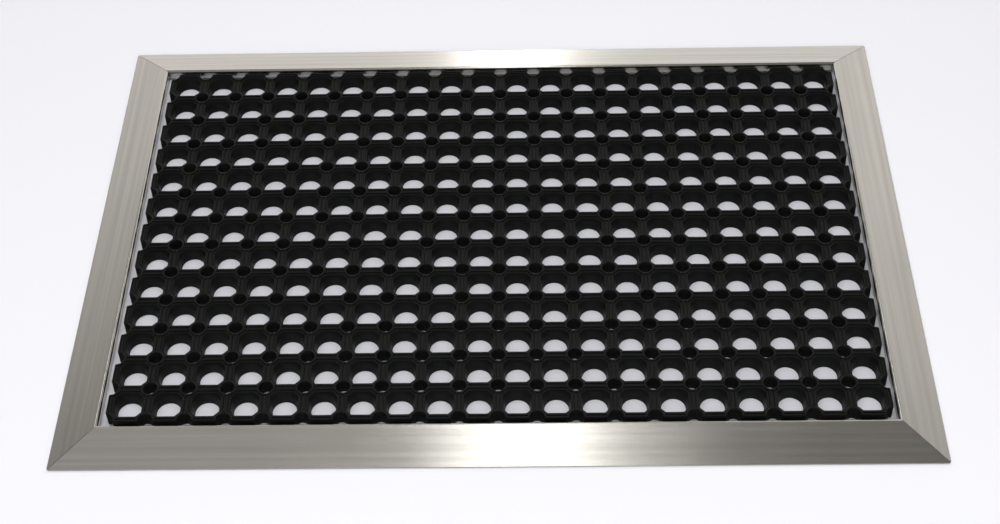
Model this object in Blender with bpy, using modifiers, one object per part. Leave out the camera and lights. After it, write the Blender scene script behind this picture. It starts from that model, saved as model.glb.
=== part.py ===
"""Door mat: a rubber ring mat lying loose in a ramped frame of folded stainless steel sheet.

Metres, +Z up. The origin is on the floor at the middle of the frame: +X runs along the long
side and +Y towards the back. Four mitred ramps make the frame. Inside their channels, corner
brackets and blind rivets hold the mitres together, and rubber strips keep the frame from sliding.
"""
from math import atan2, asin, cos, hypot, pi, radians, sin, sqrt, tan

import bmesh
import bpy
from mathutils import Matrix, Vector

# Rubber mat
CELL_PITCH = 0.030          # from one ring cell to the next, both ways
COLUMNS = 20
ROWS = 13
MAT_HEIGHT = 0.0125
MAT_RIM = 0.001             # rubber outside the outermost cell boundary
CELL_TOP = 0.0258           # opening of a cell across its flats, on top
CELL_BOTTOM = 0.0192        # the same on the underside: the walls thicken downwards
NOTCH_RADIUS = 0.0055       # half-round notches in the rim, one at each cell corner
MAT_PLAY = 0.004            # room between the mat and the frame, all round, when centred
MAT_SHIFT = (0.001, -0.002)     # where the loose mat lies within that room

# Frame: one folded profile, seen in section
RAMP_WIDTH = 0.035          # from the inner lip to the toe, in plan
RAMP_TOP = 0.0105           # height of the fold along the inner edge
SHEET = 0.001               # thickness of the steel
TOP_BEND = 0.002            # outer radius of the fold between ramp and lip
BOTTOM_BEND = 0.0015        # outer radius of the fold between lip and flange
FLANGE_DEPTH = 0.016        # how far the flange runs under the ramp
TOE_EDGE = 0.0003           # flat on the underside of the toe, where it rests on the floor
MITRE_GAP = 0.0003          # open seam between two mitred ends

# Anti-slip strips under the flanges
STRIP_HEIGHT = 0.0012
STRIP_WIDTH = 0.010
STRIP_END_ROOM = 0.045      # from the corner of the opening to the strip's end

# Corner brackets on the flanges, and their rivets
BRACKET_LEG = 0.040         # from the corner of the opening along each ramp
BRACKET_WIDTH = 0.009
BRACKET_THICKNESS = 0.0015
BRACKET_INSET = 0.0045      # from the lip's inner face to the bracket
RIVET_PLACES = (0.010, 0.030)   # from the corner of the opening along each leg
RIVET_SHANK = 0.0016        # radii
RIVET_HEAD = 0.0030
RIVET_TAIL = 0.0025
RIVET_HEAD_HEIGHT = 0.0007
RIVET_TAIL_HEIGHT = 0.0016
RIVET_HEAD_FACE = 0.0024    # flat end of the head, inside its bevel
RIVET_TAIL_FACE = 0.00175
HOLE_CLEARANCE = 0.0003     # on the radius of a rivet hole

FIT_GAP = 0.0003            # between pieces that rest on each other
CUT_MARGIN = 0.002          # how far a cutter runs past what it cuts
ARC_STEPS = 6
ROUND_SIDES = 12
CELL_SIDES = 8
SHARP_ANGLE = 30            # degrees; edges sharper than this are shaded as creases
CURVE_MERGE = 1e-6          # vertices closer than this become one
TURN_MERGE = 1e-5

# Worked out from the above
MAT_LENGTH = COLUMNS * CELL_PITCH + 2 * MAT_RIM
MAT_WIDTH = ROWS * CELL_PITCH + 2 * MAT_RIM
OPENING_HALF_X = MAT_LENGTH / 2 + MAT_PLAY
OPENING_HALF_Y = MAT_WIDTH / 2 + MAT_PLAY
FLANGE_BOTTOM = STRIP_HEIGHT + FIT_GAP
BRACKET_BOTTOM = FLANGE_BOTTOM + SHEET + FIT_GAP
BRACKET_TOP = BRACKET_BOTTOM + BRACKET_THICKNESS
RIVET_LINE = BRACKET_INSET + BRACKET_WIDTH / 2

CORNERS = {
    "front_left": (-1, -1),
    "front_right": (1, -1),
    "back_left": (-1, 1),
    "back_right": (1, 1),
}
# name: (half of the opening along the ramp, distance from the middle, turn about Z)
SIDES = {
    "front": (OPENING_HALF_X, OPENING_HALF_Y, 0),
    "right": (OPENING_HALF_Y, OPENING_HALF_X, 90),
    "back": (OPENING_HALF_X, OPENING_HALF_Y, 180),
    "left": (OPENING_HALF_Y, OPENING_HALF_X, 270),
}


def clear_scene():
    for obj in list(bpy.data.objects):
        bpy.data.objects.remove(obj, do_unlink=True)


def new_collection(name):
    collection = bpy.data.collections.new(name)
    bpy.context.scene.collection.children.link(collection)
    return collection


def new_material(name, colour, roughness, metallic):
    material = bpy.data.materials.new(name)
    material.use_nodes = True
    shader = material.node_tree.nodes["Principled BSDF"]
    shader.inputs["Base Color"].default_value = (*colour, 1)
    shader.inputs["Roughness"].default_value = roughness
    shader.inputs["Metallic"].default_value = metallic
    return material


def add_object(name, mesh, collection, material=None):
    obj = bpy.data.objects.new(name, mesh)
    collection.objects.link(obj)
    if material:
        mesh.materials.append(material)
    return obj


def mesh_from(name, shape):
    mesh = bpy.data.meshes.new(name)
    shape.to_mesh(mesh)
    shape.free()
    return mesh


def box_mesh(name, size, base_height):
    """A box centred on the Z axis, standing on base_height."""
    shape = bmesh.new()
    middle = Vector((0, 0, base_height + size[2] / 2))
    matrix = Matrix.Translation(middle) @ Matrix.Diagonal((*size, 1))
    bmesh.ops.create_cube(shape, size=1, matrix=matrix)
    return mesh_from(name, shape)


def hide_cutter(cutter):
    cutter.hide_render = True
    cutter.display_type = "WIRE"


def cut(obj, cutter):
    boolean = obj.modifiers.new(f"cut_{cutter.name}", "BOOLEAN")
    boolean.operation = "DIFFERENCE"
    boolean.object = cutter


def repeat(obj, count, step):
    array = obj.modifiers.new("repeat", "ARRAY")
    array.count = count
    array.use_relative_offset = False
    array.use_constant_offset = True
    array.constant_offset_displace = step


def outline_mesh(name, outline, half_thickness):
    """A flat closed outline made solid, half_thickness to each side of its plane."""
    curve = bpy.data.curves.new(name, "CURVE")
    curve.dimensions = "2D"
    curve.fill_mode = "BOTH"
    curve.extrude = half_thickness
    spline = curve.splines.new("POLY")
    spline.points.add(len(outline) - 1)
    for point, (x, y) in zip(spline.points, outline):
        point.co = (x, y, 0, 1)
    spline.use_cyclic_u = True
    guide = bpy.data.objects.new(f"{name}_outline", curve)
    bpy.context.scene.collection.objects.link(guide)
    evaluated = guide.evaluated_get(bpy.context.evaluated_depsgraph_get())
    mesh = bpy.data.meshes.new_from_object(evaluated)
    bpy.data.objects.remove(guide, do_unlink=True)
    shape = bmesh.new()
    shape.from_mesh(mesh)
    bmesh.ops.remove_doubles(shape, verts=shape.verts, dist=CURVE_MERGE)
    shape.to_mesh(mesh)
    shape.free()
    mesh.name = name
    return mesh


def arc(centre, radius, start, stop):
    """Points on an arc of the section; start and stop are angles in radians."""
    for step in range(ARC_STEPS + 1):
        angle = start + (stop - start) * step / ARC_STEPS
        yield centre[0] + radius * cos(angle), centre[1] + radius * sin(angle)


def ramp_slope():
    """Angle of the ramp that runs from its toe to a tangent on the top fold."""
    run = RAMP_WIDTH - TOP_BEND
    rise = RAMP_TOP - TOP_BEND - SHEET
    return atan2(rise, run) + asin(TOP_BEND / hypot(run, rise))


def ramp_section():
    """Closed outline of the folded sheet: first number outwards from the lip, second up."""
    slope = ramp_slope()
    normal = pi / 2 - slope
    top = (TOP_BEND, RAMP_TOP - TOP_BEND)
    bottom = (BOTTOM_BEND, FLANGE_BOTTOM + BOTTOM_BEND)
    underside_foot = RAMP_WIDTH - SHEET * (1 / cos(slope) - 1) / tan(slope)
    outside = [
        (RAMP_WIDTH, 0),
        (RAMP_WIDTH, SHEET),
        *arc(top, TOP_BEND, normal, pi),
        *arc(bottom, BOTTOM_BEND, pi, 1.5 * pi),
        (FLANGE_DEPTH, FLANGE_BOTTOM),
    ]
    inside = [
        (FLANGE_DEPTH, FLANGE_BOTTOM + SHEET),
        *arc(bottom, BOTTOM_BEND - SHEET, 1.5 * pi, pi),
        *arc(top, TOP_BEND - SHEET, pi, normal),
        (underside_foot - TOE_EDGE, TOE_EDGE * tan(slope)),
        (underside_foot - TOE_EDGE, 0),
    ]
    return outside + inside


def make_ramp(side, collection, material, rivet_holes):
    half_length, distance, turn = SIDES[side]
    mesh = outline_mesh(f"ramp_{side}", ramp_section(), half_length)
    for vertex in mesh.vertices:
        out, up, along = vertex.co
        mitred = half_length + out - MITRE_GAP / sqrt(2)
        vertex.co = (mitred if along < 0 else -mitred, -out, up)
    mesh.shade_smooth()
    mesh.set_sharp_from_angle(angle=radians(SHARP_ANGLE))
    ramp = add_object(f"ramp_{side}", mesh, collection, material)
    turned = Matrix.Rotation(radians(turn), 4, "Z")
    ramp.matrix_world = turned @ Matrix.Translation((0, -distance, 0))
    cut(ramp, rivet_holes)


def make_strip(side, collection, material):
    half_length, distance, turn = SIDES[side]
    length = 2 * (half_length - STRIP_END_ROOM)
    mesh = box_mesh(f"grip_strip_{side}", (length, STRIP_WIDTH, STRIP_HEIGHT), 0)
    strip = add_object(f"grip_strip_{side}", mesh, collection, material)
    turned = Matrix.Rotation(radians(turn), 4, "Z")
    strip.matrix_world = turned @ Matrix.Translation((0, -distance - RIVET_LINE, 0))


def rivet_places():
    """Every rivet: its corner, its number there and its place in plan."""
    for corner, (side_x, side_y) in CORNERS.items():
        along_x = [(OPENING_HALF_X - place, OPENING_HALF_Y + RIVET_LINE) for place in RIVET_PLACES]
        along_y = [(OPENING_HALF_X + RIVET_LINE, OPENING_HALF_Y - place) for place in RIVET_PLACES]
        for number, (x, y) in enumerate(along_x + along_y, start=1):
            yield corner, number, (side_x * x, side_y * y)


def make_rivet_holes(collection):
    """One cutter with a pin for each rivet, through the flanges and the brackets."""
    shape = bmesh.new()
    depth = BRACKET_TOP - FLANGE_BOTTOM + 2 * CUT_MARGIN
    for _, _, (x, y) in rivet_places():
        bmesh.ops.create_cone(
            shape, cap_ends=True, segments=ROUND_SIDES, depth=depth,
            radius1=RIVET_SHANK + HOLE_CLEARANCE, radius2=RIVET_SHANK + HOLE_CLEARANCE,
            matrix=Matrix.Translation((x, y, (FLANGE_BOTTOM + BRACKET_TOP) / 2)))
    cutter = add_object("rivet_holes", mesh_from("rivet_holes", shape), collection)
    hide_cutter(cutter)
    return cutter


def make_bracket(corner, collection, material, rivet_holes):
    """An L-shaped plate lying on the flanges of two ramps, across their mitre."""
    side_x, side_y = CORNERS[corner]
    near = BRACKET_INSET
    far = BRACKET_INSET + BRACKET_WIDTH
    leg = -BRACKET_LEG
    outline = [(leg, near), (near, near), (near, leg), (far, leg), (far, far), (leg, far)]
    placed = [
        (side_x * (OPENING_HALF_X + x), side_y * (OPENING_HALF_Y + y)) for x, y in outline]
    mesh = outline_mesh(f"corner_bracket_{corner}", placed, BRACKET_THICKNESS / 2)
    bracket = add_object(f"corner_bracket_{corner}", mesh, collection, material)
    bracket.location.z = (BRACKET_BOTTOM + BRACKET_TOP) / 2
    cut(bracket, rivet_holes)


def rivet_tail_height():
    """The usual height, or as much as the ramp above leaves room for."""
    slope = ramp_slope()
    outermost = RIVET_LINE + RIVET_TAIL
    ramp_underside = SHEET + (RAMP_WIDTH - outermost) * tan(slope) - SHEET / cos(slope)
    return min(RIVET_TAIL_HEIGHT, ramp_underside - BRACKET_TOP - 2 * FIT_GAP)


def rivet_mesh():
    """A set blind rivet: head below the flange, shank, and the formed tail on the bracket."""
    head_top = FLANGE_BOTTOM - FIT_GAP
    head_bottom = head_top - RIVET_HEAD_HEIGHT
    tail_bottom = BRACKET_TOP + FIT_GAP
    tail_top = tail_bottom + rivet_tail_height()
    profile = [
        (0, tail_top),
        (RIVET_TAIL_FACE, tail_top),
        (RIVET_TAIL, (tail_bottom + tail_top) / 2),
        (RIVET_TAIL, tail_bottom),
        (RIVET_SHANK, tail_bottom),
        (RIVET_SHANK, head_top),
        (RIVET_HEAD, head_top),
        (RIVET_HEAD_FACE, head_bottom),
        (0, head_bottom),
    ]
    mesh = bpy.data.meshes.new("rivet")
    edges = [(index, index + 1) for index in range(len(profile) - 1)]
    mesh.from_pydata([(radius, 0, height) for radius, height in profile], edges, [])
    return mesh


def make_rivets(collection, material):
    mesh = rivet_mesh()
    mesh.materials.append(material)
    for corner, number, (x, y) in rivet_places():
        rivet = add_object(f"rivet_{corner}_{number}", mesh, collection)
        rivet.location = (x, y, 0)
        turned = rivet.modifiers.new("turned", "SCREW")
        turned.steps = ROUND_SIDES
        turned.render_steps = ROUND_SIDES
        turned.use_merge_vertices = True
        turned.merge_threshold = TURN_MERGE
        turned.use_smooth_shade = True


def make_cell_cutter(collection):
    """Eight-sided tapered cells, flats along X and Y, repeated over the whole mat."""
    half_angle = pi / CELL_SIDES
    growth = (CELL_TOP - CELL_BOTTOM) / MAT_HEIGHT * CUT_MARGIN
    shape = bmesh.new()
    bmesh.ops.create_cone(
        shape, cap_ends=True, segments=CELL_SIDES, depth=MAT_HEIGHT + 2 * CUT_MARGIN,
        radius1=(CELL_BOTTOM - growth) / 2 / cos(half_angle),
        radius2=(CELL_TOP + growth) / 2 / cos(half_angle),
        matrix=Matrix.Rotation(half_angle, 4, "Z"))
    cutter = add_object("cells", mesh_from("cells", shape), collection)
    repeat(cutter, COLUMNS, (CELL_PITCH, 0, 0))
    repeat(cutter, ROWS, (0, CELL_PITCH, 0))
    cutter.location = (
        MAT_SHIFT[0] - (COLUMNS - 1) * CELL_PITCH / 2,
        MAT_SHIFT[1] - (ROWS - 1) * CELL_PITCH / 2,
        MAT_HEIGHT / 2)
    hide_cutter(cutter)
    return cutter


def make_notch_cutter(collection):
    """Round pins on the outermost cell corners, which notch the mat's rim all round."""
    half_x = COLUMNS * CELL_PITCH / 2
    half_y = ROWS * CELL_PITCH / 2
    places = []
    for column in range(COLUMNS + 1):
        x = column * CELL_PITCH - half_x
        places += [(x, -half_y), (x, half_y)]
    for row in range(1, ROWS):
        y = row * CELL_PITCH - half_y
        places += [(-half_x, y), (half_x, y)]
    shape = bmesh.new()
    for x, y in places:
        bmesh.ops.create_cone(
            shape, cap_ends=True, segments=ROUND_SIDES, depth=MAT_HEIGHT + 2 * CUT_MARGIN,
            radius1=NOTCH_RADIUS, radius2=NOTCH_RADIUS,
            matrix=Matrix.Translation((x, y, MAT_HEIGHT / 2)))
    cutter = add_object("rim_notches", mesh_from("rim_notches", shape), collection)
    cutter.location = (*MAT_SHIFT, 0)
    hide_cutter(cutter)
    return cutter


def make_mat(collection, cutters, material):
    mesh = box_mesh("rubber_mat", (MAT_LENGTH, MAT_WIDTH, MAT_HEIGHT), 0)
    mat = add_object("rubber_mat", mesh, collection, material)
    mat.location = (*MAT_SHIFT, 0)
    cut(mat, make_cell_cutter(cutters))
    cut(mat, make_notch_cutter(cutters))


def main():
    clear_scene()
    parts = new_collection("door_mat")
    cutters = new_collection("cutters")
    rubber = new_material("black_rubber", (0.012, 0.013, 0.012), 0.55, 0)
    strip_rubber = new_material("strip_rubber", (0.03, 0.03, 0.03), 0.8, 0)
    stainless = new_material("brushed_stainless", (0.62, 0.60, 0.56), 0.32, 1)
    zinc_plate = new_material("zinc_plate", (0.55, 0.56, 0.58), 0.45, 1)
    aluminium = new_material("rivet_aluminium", (0.75, 0.75, 0.76), 0.4, 1)

    make_mat(parts, cutters, rubber)
    rivet_holes = make_rivet_holes(cutters)
    for side in SIDES:
        make_ramp(side, parts, stainless, rivet_holes)
        make_strip(side, parts, strip_rubber)
    for corner in CORNERS:
        make_bracket(corner, parts, zinc_plate, rivet_holes)
    make_rivets(parts, aluminium)


main()
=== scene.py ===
"""Looks of the door mat: the moulded rubber ring mat, the brushed ramp frame, floor, light, camera.

Metres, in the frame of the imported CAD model.
"""
from math import asin, atan2, cos, hypot, pi, radians, sin, sqrt, tan

import bmesh
import bpy
import numpy as np
from mathutils import Matrix, Vector


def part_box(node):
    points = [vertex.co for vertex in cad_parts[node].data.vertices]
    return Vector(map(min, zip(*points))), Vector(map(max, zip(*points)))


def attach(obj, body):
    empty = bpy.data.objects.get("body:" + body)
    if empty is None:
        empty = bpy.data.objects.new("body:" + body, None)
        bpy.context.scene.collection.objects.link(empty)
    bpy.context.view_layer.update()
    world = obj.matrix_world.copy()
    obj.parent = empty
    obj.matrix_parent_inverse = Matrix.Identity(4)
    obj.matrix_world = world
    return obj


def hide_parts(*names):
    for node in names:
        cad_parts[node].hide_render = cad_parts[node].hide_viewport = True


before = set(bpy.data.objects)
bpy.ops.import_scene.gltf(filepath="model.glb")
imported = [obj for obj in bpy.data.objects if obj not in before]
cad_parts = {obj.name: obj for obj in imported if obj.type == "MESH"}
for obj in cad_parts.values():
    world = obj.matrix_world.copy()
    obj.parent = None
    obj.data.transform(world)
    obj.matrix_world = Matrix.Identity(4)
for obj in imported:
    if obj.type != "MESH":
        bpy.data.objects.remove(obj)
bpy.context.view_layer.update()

MM = 0.001

# Ring mat, as moulded
COLUMNS = 20
ROWS = 13
RIM = 1.0 * MM                  # rubber outside the outermost cell boundary
CORNER_STEPS = 6                # segments in a quarter circle
CELL_BOTTOM = 9.6 * MM          # radius of a cell's round opening on the floor
FUNNEL_LEVEL = 0.55             # where the walls' slope is set, as a share of the height
FUNNEL_ROUND = 10.3 * MM        # there: radius of the circle, and the two half widths of
FUNNEL_FLAT = 10.35 * MM        # the cut-cornered square, between which the wall lies
FUNNEL_DIAGONAL = 11.2 * MM
LEDGE_DROP = 1.3 * MM           # from the top of the mat down to the ledge inside each cell
LEDGE_EDGE = 11.05 * MM         # half width of the cell across the flats of its ledge
LEDGE_DIAGONAL = 12.8 * MM      # the same across its corners, which are cut off
LEDGE_ROUND = 0.2 * MM          # blunted edge of the ledge: inwards, and down
LEDGE_ROUND_DROP = 0.35 * MM
LEDGE_SINK = 0.05 * MM          # the ledge falls this much towards the wall above it
RIM_FOOT = 12.6 * MM            # half widths of the cell above the ledge
RIM_WALL = 12.8 * MM
RIM_EDGE = 13.0 * MM
RIM_INNER = 13.45 * MM          # where the rim's flat top ends and the groove's side starts
GROOVE_EDGE = 13.9 * MM
GROOVE_DEPTH = 1.0 * MM         # groove along the top of each wall, between two collars
GROOVE_END = 6.8 * MM           # from a small hole's centre to the groove's end
GROOVE_SLOPE = 0.3 * MM
COLLAR_FOOT = 7.15 * MM         # radii of the collar round a small hole, outside to inside
COLLAR_WALL = 6.95 * MM
COLLAR_OUTER = 6.7 * MM
COLLAR_INNER = 5.85 * MM
HOLE_TOP = 5.6 * MM
HOLE_BOTTOM = 5.0 * MM
EDGE_ROUND = 0.25 * MM
NOTCH_FLARE = 1.4 * MM          # how far a rim notch widens at its mouth
MAT_WELD = 0.01 * MM
MAT_CREASE = 50                 # degrees; sharper edges are shaded as creases

# Steel ramps, as folded
SHEET = 1.0 * MM
TOP_BEND = 2.0 * MM
BOTTOM_BEND = 1.5 * MM
FLANGE_DEPTH = 16.0 * MM
FLANGE_BOTTOM = 1.5 * MM
MITRE_GAP = 0.3 * MM
ARC_STEPS = 8
STEEL_BEVEL = 0.18 * MM
OUTER_CORNER = 2.5 * MM         # blunted outer corners of the frame, in plan
RIVET_SHANK = 1.6 * MM          # radius
HOLE_ROOM = 0.3 * MM            # round a rivet's shank
HOLE_SIDES = 24
PIN_LENGTH = 8 * MM
RAMP_WELD = 0.001 * MM
RAMP_CREASE = 32                # degrees
BEVEL_ANGLE = 35                # degrees; only edges sharper than this are bevelled
FLAT_WIDTH = 5 * MM             # faces of the steel broader than this are shaded flat

# Camera
CAMERA_PLACE = (0.0294, -0.9558, 1.0459)
CAMERA_DOWN = 0.8454            # radians below the horizon
CAMERA_TURN = -0.0300
CAMERA_ROLL = -0.0330
CAMERA_LENS = 60.44
CAMERA_SENSOR = 36.0
CAMERA_NEAR = 0.01

# Floor and surroundings
FLOOR_REACH = 6.0
FLOOR_DROP = 0.3 * MM           # the floor lies this far below the part
WORLD_COLOUR = (1.0, 0.985, 0.965)
WORLD_DIM = 0.26                # strength of the surroundings, darkest and brightest
WORLD_BRIGHT = 1.22
BRIGHT_SIDE = (0.2, 1.2, -1.6)  # the direction towards which they brighten
BRIGHT_SPAN = (-0.36, 0.13)     # share of that direction where the change starts and ends

# name: (place, point aimed at, size, watts, whether it shows in the steel)
LIGHTS = {
    "overhead_strip": ((0.01, -0.02, 1.9), (0.01, -0.02, 0), (0.20, 3.0), 11, True),
    "left_ceiling": ((-1.1, -0.1, 1.9), (-1.1, -0.1, 0), (1.5, 1.5), 2.2, True),
    "back_window": ((-0.02, 3.0, 0.45), (-0.02, 0, 0), (0.08, 0.8), 3, True),
    "top_fill": ((0.0, 0.0, 2.5), (0, 0, 0), (3.0, 3.0), 40, False),
    "front_fill": ((0.0, -2.6, 1.3), (0, 0, 0), (3.0, 1.5), 68, False),
}


# ---------------------------------------------------------------- meshes

def add_mesh(name, vertices, faces, weld=0.0):
    mesh = bpy.data.meshes.new(name)
    mesh.from_pydata(vertices, [], faces)
    if weld:
        shape = bmesh.new()
        shape.from_mesh(mesh)
        bmesh.ops.remove_doubles(shape, verts=shape.verts, dist=weld)
        bmesh.ops.recalc_face_normals(shape, faces=shape.faces)
        shape.to_mesh(mesh)
        shape.free()
    obj = bpy.data.objects.new(name, mesh)
    bpy.context.scene.collection.objects.link(obj)
    return obj


def apply_modifiers(obj):
    """Replaces the object's mesh with its evaluated one."""
    evaluated = obj.evaluated_get(bpy.context.evaluated_depsgraph_get())
    mesh = bpy.data.meshes.new_from_object(evaluated)
    obj.modifiers.clear()
    obj.data = mesh


def smooth(obj, sharp_degrees):
    obj.data.shade_smooth()
    obj.data.set_sharp_from_angle(angle=radians(sharp_degrees))


# ---------------------------------------------------------------- rubber mat

class Shape:
    """Vertices and faces gathered one by one."""

    def __init__(self):
        self.vertices = []
        self.faces = []

    def add_loop(self, points):
        first = len(self.vertices)
        self.vertices += points
        return list(range(first, len(self.vertices)))

    def bridge(self, loop_a, loop_b, closed):
        count = len(loop_a) if closed else len(loop_a) - 1
        for i in range(count):
            j = (i + 1) % len(loop_a)
            self.faces.append((loop_a[i], loop_a[j], loop_b[j], loop_b[i]))


def turned(points, quarter):
    """Points (x, y, z) turned about Z by a number of quarter turns."""
    matrix = Matrix.Rotation(quarter * pi / 2, 3, "Z")
    return [tuple(matrix @ Vector(point)) for point in points]


def four_quarters(quarter_points):
    return [point for quarter in range(4) for point in turned(quarter_points, quarter)]


def round_quarter(radius, level):
    """A flat side's middle, then the corner's points, on a circle about the cell's centre."""
    angles = [step * pi / 2 / CORNER_STEPS for step in range(CORNER_STEPS)]
    return [(radius * cos(angle), radius * sin(angle), level) for angle in angles]


def chamfered_quarter(flat, diagonal, level):
    """The same on a square with cut corners, given by its two half widths."""
    near = Vector((flat, sqrt(2) * diagonal - flat))
    far = Vector((near.y, near.x))
    corner = [near.lerp(far, step / (CORNER_STEPS - 2)) for step in range(CORNER_STEPS - 1)]
    return [(flat, 0.0, level)] + [(point.x, point.y, level) for point in corner]


def collared_quarter(pitch, flat, radius, level):
    """The same where the corner curves in round the collar of a small hole."""
    points = [(flat, 0.0, level)]
    for step in range(1, CORNER_STEPS):
        angle = step * pi / 2 / CORNER_STEPS
        x = pitch / 2 - radius * sin(angle)
        y = pitch / 2 - radius * cos(angle)
        if step == 1:
            x = flat
        if step == CORNER_STEPS - 1:
            y = flat
        points.append((x, y, level))
    return points


def mixed(points_a, points_b, share):
    return [tuple(Vector(a).lerp(Vector(b), share)) for a, b in zip(points_a, points_b)]


def cell_loops(pitch, height):
    """Profile of a cell from its round bottom opening up to the rim's edge."""
    ledge = height - LEDGE_DROP
    middle = FUNNEL_LEVEL * height
    funnel = mixed(
        round_quarter(FUNNEL_ROUND, middle),
        chamfered_quarter(FUNNEL_FLAT, FUNNEL_DIAGONAL, middle), 0.5)
    return [
        round_quarter(CELL_BOTTOM, 0.0),
        funnel,
        chamfered_quarter(
            LEDGE_EDGE - LEDGE_ROUND, LEDGE_DIAGONAL - LEDGE_ROUND, ledge - LEDGE_ROUND_DROP),
        chamfered_quarter(LEDGE_EDGE, LEDGE_DIAGONAL, ledge),
        collared_quarter(pitch, RIM_FOOT, COLLAR_FOOT, ledge - LEDGE_SINK),
        collared_quarter(pitch, RIM_WALL, COLLAR_WALL, height - EDGE_ROUND),
        collared_quarter(pitch, RIM_EDGE, COLLAR_OUTER, height),
    ]


def hole_quarter(pitch, radius, level):
    """A quarter of a small hole, from the +X boundary round to the +Y boundary."""
    points = []
    for step in range(CORNER_STEPS + 1):
        angle = step * pi / 2 / CORNER_STEPS
        points.append((pitch / 2 - radius * sin(angle), pitch / 2 - radius * cos(angle), level))
    return points


def mat_cell(pitch, height):
    """One cell with its half of each wall and a quarter of the small hole at each corner."""
    shape = Shape()
    rings = [shape.add_loop(four_quarters(quarter)) for quarter in cell_loops(pitch, height)]
    for lower, upper in zip(rings, rings[1:]):
        shape.bridge(lower, upper, closed=True)
    bottom, top = rings[0], rings[-1]

    half = pitch / 2
    land_end = half - GROOVE_END
    groove_end = land_end - GROOVE_SLOPE
    floor = height - GROOVE_DEPTH
    lands, grooves, holes = [], [], []
    for quarter in range(4):
        lands.append(shape.add_loop(turned([
            (half, -land_end, height), (RIM_INNER, -land_end, height),
            (RIM_INNER, land_end, height), (half, land_end, height)], quarter)))
        grooves.append(shape.add_loop(turned([
            (half, -groove_end, floor), (GROOVE_EDGE, -groove_end, floor),
            (GROOVE_EDGE, groove_end, floor), (half, groove_end, floor)], quarter)))
        loops = [
            shape.add_loop(turned(hole_quarter(pitch, radius, level), quarter))
            for radius, level in (
                (COLLAR_INNER, height), (HOLE_TOP, height - EDGE_ROUND), (HOLE_BOTTOM, 0.0))]
        for outer, inner in zip(loops, loops[1:]):
            shape.bridge(outer, inner, closed=False)
        holes.append(loops)

    count = len(top)
    for quarter in range(4):
        middle = quarter * CORNER_STEPS
        land, groove = lands[quarter], grooves[quarter]
        shape.bridge(land, groove, closed=False)
        shape.faces.append(tuple(groove))
        shape.faces.append((
            top[middle - 1], top[middle], top[(middle + 1) % count], land[2], land[1]))
        next_land = lands[(quarter + 1) % 4]
        collar = [top[(middle + step) % count] for step in range(1, CORNER_STEPS)]
        shape.faces.append((
            land[3], land[2], *collar, next_land[1], next_land[0], *reversed(holes[quarter][0])))
        before, after = holes[quarter - 1][-1], holes[quarter][-1]
        shape.faces.append((
            bottom[middle - 1], bottom[middle], bottom[(middle + 1) % count], after[0], before[-1]))
        corner = [bottom[(middle + step) % count] for step in range(1, CORNER_STEPS)]
        shape.faces.append((*corner, *reversed(after)))
    return np.array(shape.vertices), shape.faces


def rim_strip(pitch, height):
    """The rim outside a border cell on its +X side, between two half-round notches."""
    floor = height - GROOVE_DEPTH
    stations = [                # (distance beyond the boundary, groove's height, drop, lift)
        (0.00 * MM, floor, 0.0, 0.0),
        (0.15 * MM, height, 0.0, 0.0),
        (0.50 * MM, height, 0.0, 0.0),
        (0.80 * MM, height - 0.05 * MM, 0.05 * MM, 0.0),
        (0.94 * MM, height - 0.18 * MM, 0.18 * MM, 0.10 * MM),
        (1.00 * MM, height - 0.45 * MM, 0.45 * MM, 0.30 * MM),
    ]
    shape = Shape()
    loops = []
    for distance, groove_level, drop, lift in stations:
        flare = NOTCH_FLARE * (distance / RIM) ** 2

        def end(radius):
            return pitch / 2 - sqrt(radius ** 2 - distance ** 2) - flare

        half = [
            (pitch / 2 - GROOVE_END - GROOVE_SLOPE - flare, groove_level),
            (pitch / 2 - GROOVE_END - flare, height - drop),
            (end(COLLAR_INNER), height - drop),
            (end(HOLE_TOP), height - EDGE_ROUND - drop),
            (end(HOLE_BOTTOM), lift),
        ]
        x = pitch / 2 + distance
        right = [(x, y, z) for y, z in half]
        left = [(x, -y, z) for y, z in reversed(half)]
        loops.append(shape.add_loop(right + left))
    for inner, outer in zip(loops, loops[1:]):
        shape.bridge(inner, outer, closed=True)
    shape.faces.append(tuple(loops[-1]))
    return np.array(shape.vertices), shape.faces


def make_mat():
    low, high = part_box("rubber_mat")
    pitch = (high.x - low.x - 2 * RIM) / COLUMNS
    centre = (low + high) / 2
    height = high.z - low.z
    cell = mat_cell(pitch, height)
    strip = rim_strip(pitch, height)
    vertices = []
    faces = []
    count = 0

    def place(piece, x, y, turn=0.0):
        nonlocal count
        points, piece_faces = piece
        spun = points.copy()
        spun[:, 0] = points[:, 0] * cos(turn) - points[:, 1] * sin(turn)
        spun[:, 1] = points[:, 0] * sin(turn) + points[:, 1] * cos(turn)
        vertices.append(spun + (x, y, low.z))
        faces.extend(tuple(i + count for i in face) for face in piece_faces)
        count += len(points)

    for column in range(COLUMNS):
        x = centre.x + (column - (COLUMNS - 1) / 2) * pitch
        for row in range(ROWS):
            y = centre.y + (row - (ROWS - 1) / 2) * pitch
            place(cell, x, y)
            if column == COLUMNS - 1:
                place(strip, x, y)
            if row == ROWS - 1:
                place(strip, x, y, pi / 2)
            if column == 0:
                place(strip, x, y, pi)
            if row == 0:
                place(strip, x, y, -pi / 2)
    mat = add_mesh("ring_mat", np.concatenate(vertices).tolist(), faces, weld=MAT_WELD)
    smooth(mat, MAT_CREASE)
    return mat


# ---------------------------------------------------------------- steel ramps

def arc(centre, radius, start, stop):
    for step in range(ARC_STEPS + 1):
        angle = start + (stop - start) * step / ARC_STEPS
        yield centre[0] + radius * cos(angle), centre[1] + radius * sin(angle)


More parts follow.
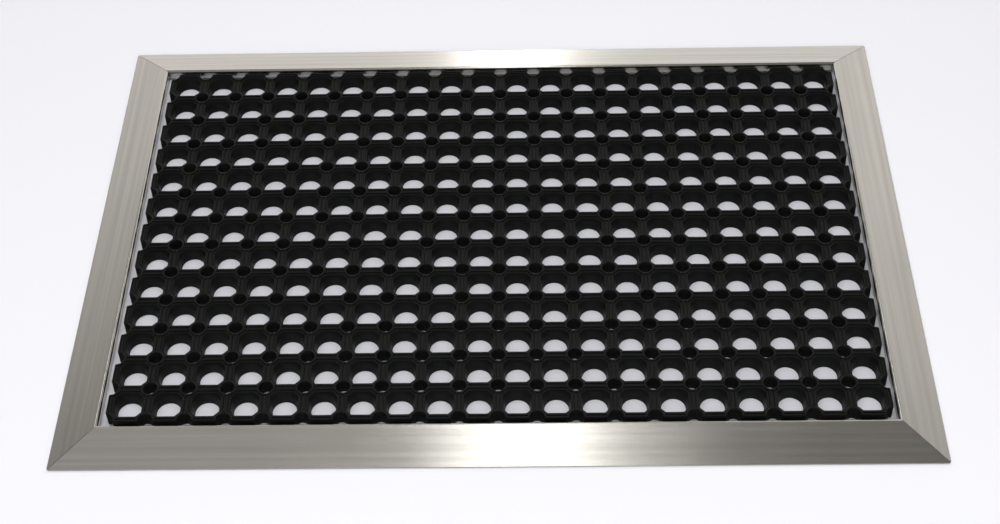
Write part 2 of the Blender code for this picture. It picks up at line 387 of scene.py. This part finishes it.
def ramp_section(width, top_height):
    """Closed outline of the folded sheet: first number outwards from the lip, second up."""
    run = width - TOP_BEND
    rise = top_height - TOP_BEND - SHEET
    slope = atan2(rise, run) + asin(TOP_BEND / hypot(run, rise))
    normal = pi / 2 - slope
    top = (TOP_BEND, top_height - TOP_BEND)
    bottom = (BOTTOM_BEND, FLANGE_BOTTOM + BOTTOM_BEND)
    foot = width - SHEET * (1 / cos(slope) - 1) / tan(slope) - MITRE_GAP
    return [
        (width, 0),
        (width, SHEET),
        *arc(top, TOP_BEND, normal, pi),
        *arc(bottom, BOTTOM_BEND, pi, 1.5 * pi),
        (FLANGE_DEPTH, FLANGE_BOTTOM),
        (FLANGE_DEPTH, FLANGE_BOTTOM + SHEET),
        *arc(bottom, BOTTOM_BEND - SHEET, 1.5 * pi, pi),
        *arc(top, TOP_BEND - SHEET, pi, normal),
        (foot, MITRE_GAP * tan(slope)),
        (foot, 0),
    ]


def rounded_outline(low, high):
    """A tall prism on the frame's outline, with its upright edges rounded."""
    shape = bmesh.new()
    size = Vector((high.x - low.x, high.y - low.y, 4 * (high.z - low.z)))
    bmesh.ops.create_cube(shape, size=1, matrix=Matrix.Diagonal((*size, 1)))
    upright = [e for e in shape.edges if abs(e.verts[0].co.z - e.verts[1].co.z) > size.z / 2]
    bmesh.ops.bevel(
        shape, geom=upright, offset=OUTER_CORNER, segments=ARC_STEPS, affect="EDGES", profile=0.5)
    mesh = bpy.data.meshes.new("outline")
    shape.to_mesh(mesh)
    shape.free()
    obj = bpy.data.objects.new("outline", mesh)
    bpy.context.scene.collection.objects.link(obj)
    return obj


def rivet_pins():
    shape = bmesh.new()
    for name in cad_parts:
        if name.startswith("rivet_"):
            low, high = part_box(name)
            middle = (low + high) / 2
            radius = RIVET_SHANK + HOLE_ROOM
            middle.z = FLANGE_BOTTOM
            bmesh.ops.create_cone(
                shape, cap_ends=True, segments=HOLE_SIDES, depth=PIN_LENGTH,
                radius1=radius, radius2=radius, matrix=Matrix.Translation(middle))
    mesh = bpy.data.meshes.new("pins")
    shape.to_mesh(mesh)
    shape.free()
    obj = bpy.data.objects.new("pins", mesh)
    bpy.context.scene.collection.objects.link(obj)
    return obj


def boolean(obj, other, operation):
    modifier = obj.modifiers.new(operation.lower(), "BOOLEAN")
    modifier.operation = operation
    modifier.object = other


def make_ramp(side, along, outwards, outline, pins):
    """A ramp whose length runs along one axis and whose slope falls outwards."""
    low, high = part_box(f"ramp_{side}")
    width = min(high.x - low.x, high.y - low.y)
    reach = max(abs(low.dot(outwards)), abs(high.dot(outwards)))
    half_length = max(abs(low.dot(along)), abs(high.dot(along))) - width
    section = ramp_section(width, high.z)
    shape = Shape()
    loops = []
    for end in (-1, 1):
        points = []
        for out, up in section:
            place = along * end * (half_length + out) + outwards * (reach - width + out)
            points.append((place.x, place.y, up))
        loops.append(shape.add_loop(points))
        shape.faces.append(tuple(loops[-1]))
    shape.bridge(loops[0], loops[1], closed=True)
    ramp = add_mesh(f"steel_ramp_{side}", shape.vertices, shape.faces, weld=RAMP_WELD)
    boolean(ramp, outline, "INTERSECT")
    boolean(ramp, pins, "DIFFERENCE")
    bevel = ramp.modifiers.new("edges", "BEVEL")
    bevel.width = STEEL_BEVEL
    bevel.segments = 2
    bevel.limit_method = "ANGLE"
    bevel.angle_limit = radians(BEVEL_ANGLE)
    apply_modifiers(ramp)
    smooth(ramp, RAMP_CREASE)
    for face in ramp.data.polygons:     # the broad flats stay flat; bends and bevels are smooth
        longest = max(
            (ramp.data.vertices[a].co - ramp.data.vertices[b].co).length
            for a, b in face.edge_keys)
        if face.area > FLAT_WIDTH * longest:
            face.use_smooth = False
    return ramp


# ---------------------------------------------------------------- materials

def new_material(name):
    material = bpy.data.materials.new(name)
    material.use_nodes = True
    return material, material.node_tree, material.node_tree.nodes["Principled BSDF"]


def add_node(tree, kind, **values):
    node = tree.nodes.new(kind)
    for key, value in values.items():
        setattr(node, key, value)
    return node


def noise(tree, stretch, scale, detail=4.0):
    """Noise over the object's own coordinates, squeezed by stretch."""
    coordinates = add_node(tree, "ShaderNodeTexCoord")
    mapping = add_node(tree, "ShaderNodeMapping")
    mapping.inputs["Scale"].default_value = stretch
    texture = add_node(tree, "ShaderNodeTexNoise")
    texture.inputs["Scale"].default_value = scale
    texture.inputs["Detail"].default_value = detail
    tree.links.new(coordinates.outputs["Object"], mapping.inputs["Vector"])
    tree.links.new(mapping.outputs["Vector"], texture.inputs["Vector"])
    return texture.outputs["Fac"]


def ramp_between(tree, factor, low, high, start=0.3, stop=0.7):
    """Maps a factor onto a range of values or colours."""
    ramp = add_node(tree, "ShaderNodeMapRange")
    ramp.inputs["From Min"].default_value = start
    ramp.inputs["From Max"].default_value = stop
    ramp.inputs["To Min"].default_value = low
    ramp.inputs["To Max"].default_value = high
    tree.links.new(factor, ramp.inputs["Value"])
    return ramp.outputs["Result"]


def mix_colours(tree, factor, colour_a, colour_b):
    mix = add_node(tree, "ShaderNodeMix", data_type="RGBA")
    mix.inputs[6].default_value = (*colour_a, 1)
    mix.inputs[7].default_value = (*colour_b, 1)
    tree.links.new(factor, mix.inputs[0])
    return mix.outputs[2]


def bump(tree, height, strength, distance):
    node = add_node(tree, "ShaderNodeBump")
    node.inputs["Strength"].default_value = strength
    node.inputs["Distance"].default_value = distance
    tree.links.new(height, node.inputs["Height"])
    return node.outputs["Normal"]


def rubber_material():
    material, tree, shader = new_material("moulded_rubber")
    mottle = noise(tree, (1, 1, 1), 60.0)
    grain = noise(tree, (1, 1, 1), 1800.0, 2.0)
    colour = mix_colours(
        tree, ramp_between(tree, mottle, 0, 1), (0.0022, 0.0027, 0.0023), (0.0040, 0.0046, 0.0040))
    tree.links.new(colour, shader.inputs["Base Color"])
    tree.links.new(ramp_between(tree, mottle, 0.46, 0.60), shader.inputs["Roughness"])
    tree.links.new(bump(tree, grain, 0.35, 0.00008), shader.inputs["Normal"])
    shader.inputs["Specular IOR Level"].default_value = 0.16
    return material


def steel_material(name, along):
    """Brushed stainless: fine streaks along one axis, 0 for X and 1 for Y."""
    material, tree, shader = new_material(name)
    stretch = [1.0, 1.0, 1.0]
    stretch[along] = 0.012
    streaks = noise(tree, stretch, 1500.0, 3.0)
    bands = noise(tree, stretch, 260.0, 4.0)
    clouds = noise(tree, (1, 1, 1), 9.0, 3.0)
    colour = mix_colours(
        tree, ramp_between(tree, bands, 0, 1), (0.40, 0.385, 0.355), (0.47, 0.455, 0.42))
    tree.links.new(colour, shader.inputs["Base Color"])
    tree.links.new(ramp_between(tree, clouds, 0.19, 0.24), shader.inputs["Roughness"])
    tree.links.new(bump(tree, streaks, 0.25, 0.00006), shader.inputs["Normal"])
    shader.inputs["Metallic"].default_value = 1.0
    return material


def plain_material(name, colour, roughness, metallic, grain_scale):
    """Plain metal or rubber for the pieces under the frame, with a fine mottle."""
    material, tree, shader = new_material(name)
    mottle = noise(tree, (1, 1, 1), grain_scale)
    darker = [0.8 * c for c in colour]
    tree.links.new(
        mix_colours(tree, ramp_between(tree, mottle, 0, 1), darker, colour),
        shader.inputs["Base Color"])
    tree.links.new(
        ramp_between(tree, mottle, roughness, roughness + 0.1), shader.inputs["Roughness"])
    shader.inputs["Metallic"].default_value = metallic
    return material


def floor_material():
    material, tree, shader = new_material("pale_floor")
    shader.inputs["Base Color"].default_value = (0.68, 0.68, 0.72, 1)
    shader.inputs["Roughness"].default_value = 0.7
    return material


def set_material(obj, material):
    obj.data.materials.clear()
    obj.data.materials.append(material)


# ---------------------------------------------------------------- stage, light, camera

def make_floor():
    reach = FLOOR_REACH
    corners = [(-reach, -reach, 0), (reach, -reach, 0), (reach, reach, 0), (-reach, reach, 0)]
    floor = add_mesh("floor", corners, [(0, 1, 2, 3)])
    floor.location.z = -FLOOR_DROP
    set_material(floor, floor_material())


def add_area_light(name, place, aim, size, power, in_steel):
    data = bpy.data.lights.new(name, "AREA")
    data.shape = "RECTANGLE"
    data.size, data.size_y = size
    data.energy = power
    light = bpy.data.objects.new(name, data)
    bpy.context.scene.collection.objects.link(light)
    light.location = place
    light.rotation_euler = (Vector(aim) - Vector(place)).to_track_quat("-Z", "Y").to_euler()
    light.visible_glossy = in_steel


def make_lights():
    """A pale room, darkest overhead and towards the front; the fills only whiten the floor."""
    world = bpy.data.worlds.new("studio")
    world.use_nodes = True
    tree = world.node_tree
    background = tree.nodes["Background"]
    coordinates = add_node(tree, "ShaderNodeTexCoord")
    slant = add_node(tree, "ShaderNodeVectorMath", operation="DOT_PRODUCT")
    slant.inputs[1].default_value = BRIGHT_SIDE
    tree.links.new(coordinates.outputs["Generated"], slant.inputs[0])
    level = ramp_between(tree, slant.outputs["Value"], WORLD_DIM, WORLD_BRIGHT, *BRIGHT_SPAN)
    tree.links.new(level, background.inputs["Strength"])
    background.inputs["Color"].default_value = (*WORLD_COLOUR, 1)
    bpy.context.scene.world = world
    for name, settings in LIGHTS.items():
        add_area_light(name, *settings)


def make_camera():
    data = bpy.data.cameras.new("camera")
    data.lens = CAMERA_LENS
    data.sensor_width = CAMERA_SENSOR
    data.sensor_fit = "HORIZONTAL"
    data.clip_start = CAMERA_NEAR
    camera = bpy.data.objects.new("camera", data)
    bpy.context.scene.collection.objects.link(camera)
    forward = Vector((
        sin(CAMERA_TURN) * cos(CAMERA_DOWN),
        cos(CAMERA_TURN) * cos(CAMERA_DOWN),
        -sin(CAMERA_DOWN)))
    level = Vector((cos(CAMERA_TURN), -sin(CAMERA_TURN), 0))
    upright = level.cross(forward)
    right = cos(CAMERA_ROLL) * level + sin(CAMERA_ROLL) * upright
    up = -sin(CAMERA_ROLL) * level + cos(CAMERA_ROLL) * upright
    turn = Matrix((right, up, -forward)).transposed()
    camera.matrix_world = Matrix.Translation(CAMERA_PLACE) @ turn.to_4x4()
    bpy.context.scene.camera = camera


# ---------------------------------------------------------------- assembly

def main():
    mat = make_mat()
    set_material(mat, rubber_material())
    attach(mat, "mat")
    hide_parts("rubber_mat")

    boxes = [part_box(f"ramp_{side}") for side in ("front", "back", "left", "right")]
    low = Vector([min(box[0][axis] for box in boxes) for axis in range(3)])
    high = Vector([max(box[1][axis] for box in boxes) for axis in range(3)])
    low.x, low.y = low.x - MITRE_GAP / 2, low.y - MITRE_GAP / 2
    high.x, high.y = high.x + MITRE_GAP / 2, high.y + MITRE_GAP / 2
    outline = rounded_outline(low, high)
    pins = rivet_pins()
    steel_x = steel_material("brushed_stainless_x", 0)
    steel_y = steel_material("brushed_stainless_y", 1)
    x_axis, y_axis = Vector((1, 0, 0)), Vector((0, 1, 0))
    for side, along, outwards, steel in (
            ("front", x_axis, -y_axis, steel_x), ("back", x_axis, y_axis, steel_x),
            ("left", y_axis, -x_axis, steel_y), ("right", y_axis, x_axis, steel_y)):
        ramp = make_ramp(side, along, outwards, outline, pins)
        set_material(ramp, steel)
        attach(ramp, "frame")
        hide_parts(f"ramp_{side}")
    for helper in (outline, pins):
        bpy.data.objects.remove(helper, do_unlink=True)

    finishes = {
        "grip_strip_": plain_material("strip_rubber", (0.03, 0.03, 0.03), 0.7, 0.0, 300.0),
        "corner_bracket_": plain_material("zinc_plate", (0.55, 0.56, 0.58), 0.35, 1.0, 120.0),
        "rivet_": plain_material("rivet_aluminium", (0.75, 0.75, 0.76), 0.3, 1.0, 400.0),
    }
    for name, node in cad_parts.items():
        for start, finish in finishes.items():
            if name.startswith(start):
                set_material(node, finish)

    make_floor()
    make_lights()
    make_camera()
    bpy.context.scene.view_settings.view_transform = "Standard"


main()
